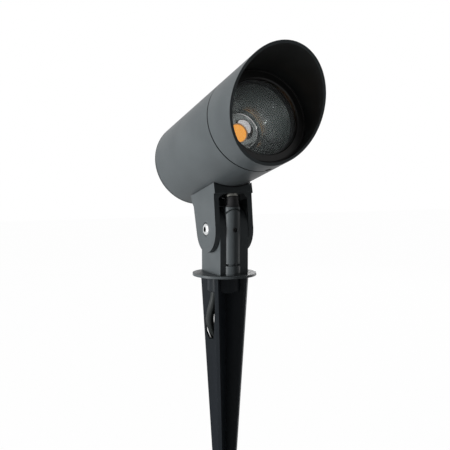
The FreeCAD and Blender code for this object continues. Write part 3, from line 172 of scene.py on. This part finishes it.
FINISHES = {
    "powder_coat": coated("powder_coat", (0.043, 0.049, 0.052), (0.052, 0.059, 0.062),
                          38, 0.42, 2600, 0.10, specular=0.08),
    # Near black: painted shade in the cowl's bore, in the seam and in the grub screw's hole,
    # and on the housing's edge in the seam.
    "cowl_inside": coated("cowl_inside", (0.006, 0.007, 0.007), (0.010, 0.011, 0.011),
                          60, 0.55, 2600, 0.10, specular=0.2),
    "stainless": coated("stainless", (0.54, 0.55, 0.56), (0.68, 0.69, 0.69),
                        300, 0.26, 3200, 0.08, metal=1.0),
    "black_rubber": coated("black_rubber", (0.012, 0.012, 0.013), (0.020, 0.020, 0.021),
                           90, 0.62, 1800, 0.16, specular=0.12),
    "dark_steel": coated("dark_steel", (0.012, 0.012, 0.013), (0.022, 0.022, 0.024),
                         200, 0.34, 2600, 0.08, specular=0.2),
    "cable_sheath": coated("cable_sheath", (0.011, 0.013, 0.013), (0.018, 0.020, 0.020),
                           120, 0.50, 1500, 0.12, specular=0.10),
    "black_anodised": coated("black_anodised", (0.006, 0.006, 0.006), (0.011, 0.011, 0.011),
                             90, 0.36, 2600, 0.06, specular=0.2),
    "plain_aluminium": coated("plain_aluminium", (0.62, 0.62, 0.64), (0.74, 0.74, 0.76),
                              120, 0.34, 2200, 0.08, metal=1.0),
    "white_board": coated("white_board", (0.74, 0.74, 0.71), (0.80, 0.80, 0.77),
                          200, 0.35, 1800, 0.05),
    # The phosphor gets a painted glow, though it is no lamp.
    "phosphor": painted_glow(coated("phosphor", (0.98, 0.38, 0.04), (1.0, 0.46, 0.07),
                               420, 0.38, 2400, 0.20), (1.0, 0.42, 0.07), 0.82),
    "bright_chrome": coated("bright_chrome", (0.56, 0.55, 0.55), (0.66, 0.65, 0.65),
                            90, 0.06, 900, 0.02, metal=1.0),
    "mirror_film": coated("mirror_film", (0.22, 0.25, 0.245), (0.30, 0.33, 0.325),
                          120, 0.06, 1600, 0.02, metal=1.0),
    "driver_case": coated("driver_case", (0.05, 0.05, 0.055), (0.07, 0.07, 0.075),
                          80, 0.55, 1500, 0.10),
    "lead_insulation": coated("lead_insulation", (0.62, 0.62, 0.60), (0.70, 0.70, 0.68),
                              150, 0.45, 1200, 0.05),
    "nickel_gland": coated("nickel_gland", (0.09, 0.09, 0.085), (0.14, 0.14, 0.13),
                           160, 0.44, 2400, 0.08, metal=1.0),
    "brass_bolt": coated("brass_bolt", (0.58, 0.44, 0.20), (0.70, 0.55, 0.28),
                         160, 0.32, 2000, 0.08, metal=1.0),
    "bush_plastic": coated("bush_plastic", (0.68, 0.68, 0.62), (0.76, 0.76, 0.70),
                           120, 0.42, 1600, 0.05),
    "spike_plastic": coated("spike_plastic", (0.005, 0.007, 0.008), (0.010, 0.012, 0.015),
                            45, 0.40, 900, 0.10, stretch=(1, 1, 0.12), specular=0.06),
    "bare_copper": coated("bare_copper", (0.66, 0.36, 0.20), (0.80, 0.48, 0.30),
                          500, 0.34, 2600, 0.20, metal=1.0, stretch=(1, 1, 0.2)),
    "clear_glass": clear("clear_glass", (0.86, 0.92, 0.92), 0.10, 0.02),
}


def dress(piece, finish, *others):
    piece.data.materials.clear()
    for name in (finish, *others):
        piece.data.materials.append(FINISHES[name])


def dress_in_two(piece, finish, second, test):
    """Gives the second finish to the faces whose middle, in millimetres, passes the test."""
    dress(piece, finish, second)
    for face in piece.data.polygons:
        face.material_index = int(test(face.center / MM))


def dress_nodes():
    """Every CAD piece gets its finish, also those that a finer piece stands for."""
    for row in frame["record"]["subparts"]:
        dress(frame["nodes"][row["node"]], row["material_slot"])


# ---- making pieces -----------------------------------------------------------------------

def alone(piece):
    if bpy.context.mode != "OBJECT":
        bpy.ops.object.mode_set(mode="OBJECT")
    bpy.ops.object.select_all(action="DESELECT")
    piece.select_set(True)
    bpy.context.view_layer.objects.active = piece


def open_edit(piece, select="SELECT", kind="VERT"):
    alone(piece)
    bpy.ops.object.mode_set(mode="EDIT")
    bpy.ops.mesh.select_mode(type=kind)
    bpy.ops.mesh.select_all(action=select)


def close_edit():
    bpy.ops.mesh.select_all(action="SELECT")
    bpy.ops.mesh.remove_doubles(threshold=WELD)
    bpy.ops.mesh.normals_make_consistent(inside=False)
    bpy.ops.object.mode_set(mode="OBJECT")


def pick_edges(piece, test):
    """Selects the edges whose two ends pass a test of their place."""
    open_edit(piece, "DESELECT", "EDGE")
    bpy.ops.object.mode_set(mode="OBJECT")
    points = piece.data.vertices
    for edge in piece.data.edges:
        edge.select = all(test(points[end].co) for end in edge.vertices)
    bpy.ops.object.mode_set(mode="EDIT")


def turned(name, profile, sides=128, solid=False):
    """A piece turned round z by extruding a ring from point to point of its profile, which
    is (radius, height) in millimetres. A solid piece has a flat face at both ends."""
    radius, height = profile[0]
    bpy.ops.mesh.primitive_circle_add(vertices=sides, radius=radius * MM,
                                      location=(0, 0, height * MM),
                                      fill_type="NGON" if solid else "NOTHING")
    piece = bpy.context.object
    piece.name = name
    alone(piece)
    bpy.ops.object.transform_apply()
    open_edit(piece, kind="FACE" if solid else "VERT")
    for next_radius, next_height in profile[1:] + ([] if solid else profile[:1]):
        bpy.ops.mesh.extrude_region_move(
            TRANSFORM_OT_translate={"value": (0, 0, (next_height - height) * MM)})
        share = next_radius / radius
        bpy.ops.transform.resize(value=(share, share, 1), center_override=(0, 0, 0))
        radius, height = next_radius, next_height
    close_edit()
    return piece


def softened(node, name, width, segments):
    """A copy of a CAD piece with its edges rounded, and without the CAD piece's marks."""
    alone(frame["nodes"][node])
    bpy.ops.object.duplicate()
    piece = bpy.context.object
    bpy.ops.object.parent_clear(type="CLEAR_KEEP_TRANSFORM")
    for key in list(piece.keys()):
        del piece[key]
    piece.name = name
    alone(piece)
    bpy.ops.mesh.customdata_custom_splitnormals_clear()
    open_edit(piece)
    bpy.ops.mesh.remove_doubles(threshold=WELD)
    bpy.ops.mesh.dissolve_limited(angle_limit=FLAT)
    bpy.ops.object.mode_set(mode="OBJECT")
    round_edges(piece, width, segments=segments)
    return piece


def round_edges(piece, width, angle=40, segments=2):
    alone(piece)
    bevel = piece.modifiers.new("round_edges", "BEVEL")
    bevel.width = width * MM
    bevel.segments = segments
    bevel.limit_method = "ANGLE"
    bevel.angle_limit = radians(angle)
    bevel.miter_outer = "MITER_ARC"
    bpy.ops.object.modifier_apply(modifier=bevel.name)


def cut_out(piece, tool):
    """Takes the tool's shape out of the piece."""
    alone(piece)
    boolean = piece.modifiers.new("cut_out", "BOOLEAN")
    boolean.operation = "DIFFERENCE"
    boolean.solver = "EXACT"
    boolean.object = tool
    bpy.ops.object.modifier_apply(modifier=boolean.name)
    bpy.data.objects.remove(tool)


def drill(radius, deep, where, sides=48, tip=None):
    """A tool for cut_out: a rod or a cone from where it starts, along its own +z."""
    bpy.ops.mesh.primitive_cone_add(vertices=sides, radius1=radius * MM,
                                    radius2=(radius if tip is None else tip) * MM,
                                    depth=deep * MM, location=(0, 0, deep * MM / 2))
    tool = bpy.context.object
    alone(tool)
    bpy.ops.object.transform_apply()
    tool.data.transform(Matrix.Translation(Vector(where) * MM))
    return tool


def settle(piece, place, finish, body, *nodes, smooth=35, dressed=False):
    """Puts a finished piece in the object's frame, smooths it below that angle, dresses it
    unless it already is, and joins it to its body, in place of the CAD pieces that it
    stands for."""
    alone(piece)
    piece.matrix_world = place
    bpy.ops.object.transform_apply()
    if smooth:
        bpy.ops.object.shade_smooth_by_angle(angle=radians(smooth))
        # Large flat faces stay evenly lit right up to their rounded edges.
        even = piece.modifiers.new("even_shading", "WEIGHTED_NORMAL")
        even.keep_sharp = True
        bpy.ops.object.modifier_apply(modifier=even.name)
    if not dressed:
        dress(piece, finish)
    if body:
        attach(piece, body)
    if nodes:
        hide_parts(*nodes)
    return piece


def part(node, name, width, finish, body, segments=2):
    """A CAD piece with its edges rounded to a width, in place of that piece."""
    return settle(softened(node, name, width, segments), Matrix(), finish, body, node)


# ---- the supply cable --------------------------------------------------------------------

def supply_lead():
    """From the hub, through the blade's window and down behind the spike."""
    radius = 3.2
    route = [
        (-8.5, 0.0, -8.8),
        (-8.77, 0.14, -16.5),
        (-10.006, 1.52, -24.0),
        (-10.889, 4.384, -31.5),
        (-9.899, 7.778, -39.5),
        (-6.859, 10.536, -47.5),
        (-3.253, 11.597, -56.0),
        (-0.707, 11.031, -66.0),
        (0.0, 9.9, -79.5),
        (0.1, 9.6, -97.0),
        (-0.3, 9.8, -120.0),
        (0.4, 9.5, -146.0),
        (-0.1, 9.9, -173.0),
        (0.0, 9.6, -198.0),
    ]
    line = bpy.data.curves.new("supply_lead", "CURVE")
    line.dimensions = "3D"
    spline = line.splines.new("NURBS")
    spline.points.add(len(route) - 1)
    for point, spot in zip(spline.points, route):
        point.co = (*(value * MM for value in spot), 1)
    spline.order_u = 3
    spline.use_endpoint_u = True
    line.resolution_u = 10
    line.bevel_depth = radius * MM
    line.bevel_resolution = 8
    line.use_fill_caps = True
    lead = bpy.data.objects.new("supply_lead", line)
    bpy.context.collection.objects.link(lead)
    dress(lead, "cable_sheath")
    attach(lead, "spike")
    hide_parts("supply_cable")
    cores = part("bare_cores", "stripped_cores", 0.25, "bare_copper", "spike")


# ---- the lamp head -----------------------------------------------------------------------

def lamp_tube():
    """The housing. Its front edge, which lies in the seam, carries painted shade."""
    back, front, painted_shade_from = -44.2, 69.1, 69
    tube = turned("lamp_tube", [(30.5, back), (LAMP_RADIUS, back), (LAMP_RADIUS, front),
                                (35.5, front), (35.5, 37), (30.5, 37)], sides=160)
    round_edges(tube, 0.3)
    # Painted shade on the front edge, where it lies in the seam.
    dress_in_two(tube, "powder_coat", "cowl_inside", lambda spot: spot.z > painted_shade_from)
    settle(tube, LAMP, "powder_coat", "head", "lamp_housing", dressed=True)


def rear_cap():
    """The rear cover, with a cone cut out under each of its four screws."""
    back, screw_circle, cone_start = -47.2, 33.6, -47.25
    cap = turned("rear_cap", [(LAMP_RADIUS, -44.75), (LAMP_RADIUS, -46), (37.65, -46.85),
                              (36.8, back), (34, back)], solid=True)
    for angle in (45, 135, 225, 315):
        spot = (screw_circle * cos(radians(angle)), screw_circle * sin(radians(angle)),
                cone_start)
        cut_out(cap, drill(3.2, 1.7, spot, tip=1.6))
    round_edges(cap, 0.15, segments=1)
    settle(cap, LAMP, "powder_coat", "head", "rear_cover")
    part("rear_cover_screws", "rear_screws", 0.12, "stainless", "head")


def glare_tube():
    """The cowl, cut at a slant: the rim is where the cut meets the lamp's axis."""
    rim, slope = 108.4, radians(30.4)
    spigot, seam_front, uncut = 57.8, 70.5, 135
    bore_edge, spigot_edge, spigot_front = 36.2, 37.6, 77
    hole_ahead, hole_turn, hole_start = 74, radians(8), -40
    tube = turned("glare_tube", [(32, spigot), (35.2, spigot), (35.2, seam_front),
                                 (LAMP_RADIUS, seam_front), (LAMP_RADIUS, uncut),
                                 (36, uncut), (36, 76), (30.4, 76), (30.4, 72), (32, 72)],
                  sides=160)
    open_edit(tube)
    bpy.ops.mesh.bisect(plane_co=(0, 0, rim * MM), plane_no=(0, -sin(slope), cos(slope)),
                        clear_outer=True)
    pick_edges(tube, lambda spot: abs(spot.z / MM - rim - spot.y / MM * tan(slope)) < 0.01)
    bpy.ops.mesh.bridge_edge_loops()
    close_edit()
    # The grub screw's hole, through the wall from below.
    turn = Matrix.Rotation(hole_turn, 4, "Z") @ Matrix.Rotation(radians(-90), 4, "X")
    hole = drill(2.6, 6, (0, 0, 0), sides=40)
    hole.data.transform(Matrix.Translation((0, 0, hole_ahead * MM)) @ turn
                        @ Matrix.Translation((0, 0, hole_start * MM)))
    cut_out(tube, hole)
    round_edges(tube, 0.3, angle=50)

    def painted_shade_within(spot):
        """Painted shade: the bore, the spigot that shows in the seam, and the grub screw's
        hole.
        """
        across = spot.xy.length
        return across < bore_edge or (across < spigot_edge and spot.z < spigot_front)

    # Those faces get the near-black finish as painted shade.
    dress_in_two(tube, "powder_coat", "cowl_inside", painted_shade_within)
    settle(tube, LAMP, "powder_coat", "head", "glare_cowl", dressed=True)
    part("cowl_grub_screw", "grub_screw", 0.15, "dark_steel", "head")


def lens_front():
    ring = turned("lens_ring", [(28.9, 81), (35.7, 81), (35.7, 83.9), (35.4, 84.5),
                                (34.9, 84.5), (34.7, 84.1), (34.3, 84.5), (29.6, 84.5),
                                (28.9, 83.6)], sides=144)
    round_edges(ring, 0.12)
    settle(ring, LAMP, "black_anodised", "head", "lens_retaining_ring")


def faceted_reflector():
    """A parabolic shell of staggered facets, each with a raised middle."""
    base, mouth, back, front = 14.9, 28.4, 44.9, 75.8
    sides, rows, crowding = 68, 18, 1.35
    profile = []
    for row in range(rows + 1):
        # The rows lie closer together towards the LED.
        share = (row / rows) ** crowding
        profile.append((sqrt(base ** 2 + (mouth ** 2 - base ** 2) * share),
                        back + (front - back) * share))
    bpy.ops.mesh.primitive_circle_add(vertices=sides, radius=profile[0][0] * MM,
                                      location=(0, 0, profile[0][1] * MM))
    shell = bpy.context.object
    shell.name = "faceted_reflector"
    alone(shell)
    bpy.ops.object.transform_apply()
    open_edit(shell)
    for (radius, height), (wider, ahead) in zip(profile, profile[1:]):
        bpy.ops.mesh.extrude_region_move(
            TRANSFORM_OT_translate={"value": (0, 0, (ahead - height) * MM)})
        bpy.ops.transform.resize(value=(wider / radius, wider / radius, 1),
                                 center_override=(0, 0, 0))
        bpy.ops.transform.rotate(value=pi / sides, orient_axis="Z",
                                 center_override=(0, 0, 0))
    bpy.ops.mesh.select_all(action="SELECT")
    bpy.ops.mesh.normals_make_consistent(inside=True)
    bpy.ops.mesh.poke(offset=0.11, use_relative_offset=True)
    bpy.ops.object.mode_set(mode="OBJECT")
    wall = shell.modifiers.new("wall", "SOLIDIFY")
    wall.thickness = 0.7 * MM
    wall.offset = -1
    bpy.ops.object.modifier_apply(modifier=wall.name)
    settle(shell, LAMP, "mirror_film", "head", "reflector", smooth=0)


def led_cup():
    """The bright collar round the LED, and the LED's low dome."""
    cup = turned("led_cup", [(13.75, 41.5), (19, 41.5), (19, 44.3), (18.7, 44.6),
                             (15.2, 44.6), (14.6, 45.1), (14.6, 47.9), (14.3, 48.4),
                             (13.9, 48.4), (13.4, 48.1), (12.4, 46.8), (11, 45.6),
                             (9.4, 44.7), (8.0, 44.1), (7.5, 43.8), (7.5, 43), (13.75, 43)],
                 sides=96)
    round_edges(cup, 0.15)
    settle(cup, LAMP, "bright_chrome", "head", "led_collar")
    drop = turned("phosphor_drop", [(7, 42.7), (7, 43.2), (6.6, 43.45), (5, 43.5),
                                    (3, 43.53)], sides=72, solid=True)
    settle(drop, LAMP, "phosphor", "head", "led_phosphor", smooth=60)


# ---- yoke, pivot and stem ----------------------------------------------------------------

def yoke_group():
    part("yoke", "yoke_casting", 0.55, "powder_coat", "head", segments=3)
    part("saddle_pad", "rubber_pad", 0.15, "black_rubber", "head")
    part("yoke_screws", "plate_screws", 0.12, "stainless", "head")
    part("cable_gland", "gland_ring", 0.35, "nickel_gland", "head")


def pivot_bolt():
    """A round head with a six-sided socket, and its shank in one piece. The socket carries
    painted shade.
    """
    head_seat = -14.9
    socket_floor, painted_shade_from, painted_shade_to, painted_shade_radius = 1.3, 1.2, 2.9, 2.35
    head = turned("bolt_head", [(5.25, 0), (5.25, 1.1), (5.05, 1.75), (4.55, 2.35),
                                (3.85, 2.8), (3.2, 3.0)], sides=64, solid=True)
    cut_out(head, drill(2.31, 2.0, (0, 0, socket_floor), sides=6))
    shank = turned("bolt_shank", [(3, 0), (3, -37.6), (2.6, -38)], sides=48, solid=True)
    alone(head)
    shank.select_set(True)
    bpy.ops.object.join()
    round_edges(head, 0.12)
    # Painted shade: the socket's walls and floor get the dark steel finish.
    dress_in_two(head, "stainless", "dark_steel",
                 lambda spot: painted_shade_from < spot.z < painted_shade_to and spot.xy.length < painted_shade_radius)
    side_on = Matrix.Translation((head_seat * MM, 0, 0)) @ Matrix.Rotation(radians(-90), 4, "Y")
    settle(head, HEAD @ side_on, "stainless", "head", "pivot_bolt", dressed=True)
    part("pivot_washer", "bolt_washer", 0.15, "stainless", "head")
    part("pivot_nut", "bolt_nut", 0.3, "stainless", "head")


def stem_group():
    part("stem", "stem_casting", 0.45, "powder_coat", "stem", segments=3)
    part("cable_cover", "half_round_cover", 0.35, "powder_coat", "stem", segments=3)
    part("cable_cover_screw", "cover_screw", 0.12, "dark_steel", "stem")
    part("base_flange", "round_flange", 0.6, "powder_coat", "stem", segments=3)
    part("flange_screws", "flange_bolts", 0.12, "stainless", "stem")
    part("swivel_nut", "thin_nut", 0.3, "brass_bolt", "stem")
    part("hollow_bolt", "hollow_swivel_bolt", 0.2, "brass_bolt", "stem")


def rubber_boot():
    """A soft sleeve from the stem's boss to the gland, with a thicker ring at each end."""
    low = Vector((-0.55, -15.6, 57.15))
    ahead, up = 18.7, 22.25
    high = Vector((0, -ahead * cos(TILT) + up * sin(TILT),
                   PIVOT_HEIGHT + ahead * sin(TILT) + up * cos(TILT)))
    levels = [(0.0, 5.7), (0.03, 5.9), (0.14, 5.9), (0.18, 5.6), (0.3, 5.45), (0.5, 5.4),
              (0.7, 5.45), (0.82, 5.6), (0.86, 5.9), (0.97, 5.9), (1.0, 5.7)]
    bpy.ops.mesh.primitive_circle_add(vertices=72, radius=levels[0][1] * MM,
                                      location=low * MM, fill_type="NGON")
    boot = bpy.context.object
    boot.name = "rubber_boot"
    alone(boot)
    bpy.ops.object.transform_apply()
    open_edit(boot, kind="FACE")
    spot, lean, radius = low, 0.0, levels[0][1]
    for share, wide in levels[1:]:
        following = low.lerp(high, share)
        bpy.ops.mesh.extrude_region_move(
            TRANSFORM_OT_translate={"value": (following - spot) * MM})
        bpy.ops.transform.resize(value=(wide / radius,) * 3, center_override=following * MM)
        # It leans slowly at both ends and faster in between.
        slope = TILT * share * share * (3 - 2 * share)
        bpy.ops.transform.rotate(value=slope - lean, orient_axis="X",
                                 center_override=following * MM)
        spot, lean, radius = following, slope, wide
    close_edit()
    settle(boot, Matrix(), "black_rubber", None)
    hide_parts("cable_boot")
    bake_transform(boot)


# ---- spike -------------------------------------------------------------------------------

def spike():
    part("ground_spike", "cross_spike", 0.45, "spike_plastic", "spike", segments=3)


# ---- surroundings ------------------------------------------------------------------------

def seen(nodes, links):
    """1 where the view, a reflection or a look through the glass meets the surroundings."""
    path = nodes.new("ShaderNodeLightPath")
    found = path.outputs["Is Camera Ray"]
    for ray in ("Is Glossy Ray", "Is Transmission Ray"):
        either = nodes.new("ShaderNodeMath")
        either.operation = "MAXIMUM"
        links.new(found, either.inputs[0])
        links.new(path.outputs[ray], either.inputs[1])
        found = either.outputs["Value"]
    return found


def pale_floor():
    """White where it is seen, but for a share that shows the object's shadow, and a plain
    grey for the light that it gives back to the object."""
    white_share, level = 0.985, -0.2155
    bpy.ops.mesh.primitive_plane_add(size=8, location=(0, 0, level))
    floor = bpy.context.object
    floor.name = "studio_floor"
    material, nodes, links = shader("pale_floor")
    surface = nodes["Principled BSDF"]
    surface.inputs["Base Color"].default_value = (0.50, 0.50, 0.50, 1)
    surface.inputs["Roughness"].default_value = 0.9
    white = nodes.new("ShaderNodeEmission")
    white.inputs["Color"].default_value = (1, 1, 1, 1)
    share = nodes.new("ShaderNodeMath")
    share.operation = "MULTIPLY"
    share.inputs[1].default_value = white_share
    mix = nodes.new("ShaderNodeMixShader")
    links.new(seen(nodes, links), share.inputs[0])
    links.new(share.outputs["Value"], mix.inputs["Fac"])
    links.new(surface.outputs["BSDF"], mix.inputs[1])
    links.new(white.outputs["Emission"], mix.inputs[2])
    links.new(mix.outputs["Shader"], nodes["Material Output"].inputs["Surface"])
    floor.data.materials.append(material)


def pale_world():
    """White where it is seen, and a faint daylight on the object."""
    world = bpy.data.worlds.new("studio")
    bpy.context.scene.world = world
    world.use_nodes = True
    nodes, links = world.node_tree.nodes, world.node_tree.links
    around = nodes["Background"]
    around.inputs["Color"].default_value = (0.90, 0.95, 1.0, 1)
    around.inputs["Strength"].default_value = 0.04
    behind = nodes.new("ShaderNodeBackground")
    behind.inputs["Color"].default_value = (1, 1, 1, 1)
    mix = nodes.new("ShaderNodeMixShader")
    links.new(seen(nodes, links), mix.inputs["Fac"])
    links.new(around.outputs["Background"], mix.inputs[1])
    links.new(behind.outputs["Background"], mix.inputs[2])
    links.new(mix.outputs["Shader"], nodes["World Output"].inputs["Surface"])


def soft_lamp(name, place, aim, size, power):
    """A softbox. Its size is how wide and how tall it is."""
    bpy.ops.object.light_add(type="AREA", location=place)
    lamp = bpy.context.object
    lamp.name = name
    lamp.data.shape = "RECTANGLE"
    lamp.data.size, lamp.data.size_y = size
    lamp.data.energy = power
    lamp.rotation_euler = (Vector(aim) - Vector(place)).to_track_quat("-Z", "Y").to_euler()


def studio():
    bpy.context.scene.view_settings.view_transform = "Standard"
    pale_floor()
    pale_world()
    soft_lamp("side_lamp", (-1.35, 0.06, 0.26), (0, 0, 0.08), (0.26, 0.50), 20.5)
    soft_lamp("side_low_lamp", (-1.1, 0.02, -0.09), (0, 0, 0.06), (0.26, 0.16), 13.0)
    soft_lamp("front_lamp", (0.2, -1.2, 0.75), (0, 0, 0.12), (0.12, 0.12), 0.8)
    soft_lamp("low_lamp", (0.9, 0.20, -0.13), (0, -0.05, 0.10), (0.5, 0.12), 1.2)
    soft_lamp("back_lamp", (1.0, 1.1, 0.60), (0, 0, 0.08), (0.7, 0.7), 13.0)


photograph_camera()
supply_lead()
dress_nodes()
lamp_tube()
rear_cap()
glare_tube()
lens_front()
faceted_reflector()
led_cup()
yoke_group()
pivot_bolt()
stem_group()
rubber_boot()
spike()
studio()
